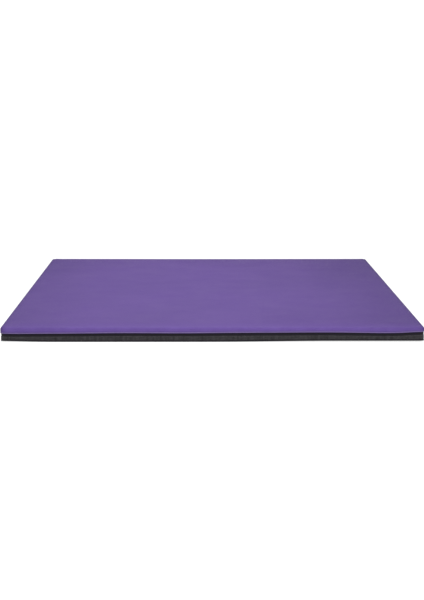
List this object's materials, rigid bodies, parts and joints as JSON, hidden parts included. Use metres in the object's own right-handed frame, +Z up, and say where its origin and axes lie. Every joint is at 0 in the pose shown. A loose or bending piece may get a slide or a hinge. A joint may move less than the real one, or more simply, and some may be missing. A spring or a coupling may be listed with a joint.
{
  "type": "incline wedge mat",
  "caption": "Foam incline wedge mat: flat sloping vinyl top with a turned-down piped edge, woven side band, zipped cover and fold-down webbing carry handles.",
  "frame": {"origin": "on the floor, under the middle of the mat", "axes": "+X across the slope, +Y up the slope towards the tall end, +Z up; the thin end faces -Y"},
  "size_m": [1.5468, 1.8327, 0.305],
  "materials": {
    "purple_vinyl": "semi-matt embossed PVC-coated fabric",
    "charcoal_cloth": "matt woven polyester",
    "black_binding": "matt woven tape",
    "base_sheet": "matt anti-slip coated fabric",
    "black_webbing": "matt woven nylon",
    "rubber_sleeve": "satin",
    "landing_foam": "matt cross-linked foam",
    "plank_foam": "matt expanded foam",
    "zip_nylon": "satin",
    "zip_metal": "satin"
  },
  "bodies": {
    "mat": {"core_landing_sheet": "landing_foam", "core_plank_1": "plank_foam", "core_plank_2": "plank_foam", "core_plank_3": "plank_foam", "core_plank_4": "plank_foam", "core_plank_5": "plank_foam", "cover_top": "purple_vinyl", "cover_piping": "purple_vinyl", "binding_tape": "black_binding", "front_band": "charcoal_cloth", "side_panel_left": "charcoal_cloth", "side_panel_right": "charcoal_cloth", "back_panel": "charcoal_cloth", "base_hem": "black_binding", "base_sheet": "base_sheet", "zip_tape_upper": "zip_nylon", "zip_tape_lower": "zip_nylon", "zip_coil_upper": "zip_nylon", "zip_coil_lower": "zip_nylon", "zip_stop_left": "zip_metal", "zip_stop_right": "zip_metal", "zip_end_patch_left": "charcoal_cloth", "zip_end_patch_right": "charcoal_cloth", "handle_left_front_tab_low": "black_webbing", "handle_left_front_tab_high": "black_webbing", "handle_left_rear_tab_low": "black_webbing", "handle_left_rear_tab_high": "black_webbing", "handle_right_front_tab_low": "black_webbing", "handle_right_front_tab_high": "black_webbing", "handle_right_rear_tab_low": "black_webbing", "handle_right_rear_tab_high": "black_webbing"},
    "handle_left_front": {"handle_left_front_loop": "black_webbing", "handle_left_front_grip": "rubber_sleeve"},
    "handle_left_rear": {"handle_left_rear_loop": "black_webbing", "handle_left_rear_grip": "rubber_sleeve"},
    "handle_right_front": {"handle_right_front_loop": "black_webbing", "handle_right_front_grip": "rubber_sleeve"},
    "handle_right_rear": {"handle_right_rear_loop": "black_webbing", "handle_right_rear_grip": "rubber_sleeve"},
    "zip_slider": {"zip_slider": "zip_metal"},
    "zip_pull": {"zip_pull": "zip_metal"}
  },
  "joints": [
    {"name": "handle_left_front_swing", "type": "hinge", "parent": "mat", "child": "handle_left_front", "pos_m": [-0.7643, -0.11, 0.11772], "axis": [0, 1, 0], "range_deg": [0, 165]},
    {"name": "handle_left_rear_swing", "type": "hinge", "parent": "mat", "child": "handle_left_rear", "pos_m": [-0.7643, 0.53, 0.2066], "axis": [0, 1, 0], "range_deg": [0, 165]},
    {"name": "handle_right_front_swing", "type": "hinge", "parent": "mat", "child": "handle_right_front", "pos_m": [0.7643, -0.11, 0.11772], "axis": [0, -1, 0], "range_deg": [0, 165]},
    {"name": "handle_right_rear_swing", "type": "hinge", "parent": "mat", "child": "handle_right_rear", "pos_m": [0.7643, 0.53, 0.2066], "axis": [0, -1, 0], "range_deg": [0, 165]},
    {"name": "zip_slide", "type": "slide", "parent": "mat", "child": "zip_slider", "axis": [1, 0, 0], "range_m": [0, 1.268]},
    {"name": "zip_pull_swing", "type": "hinge", "parent": "zip_slider", "child": "zip_pull", "pos_m": [-0.634, 0.91595, 0.062], "axis": [0, 0, 1], "range_deg": [0, 170]}
  ]
}
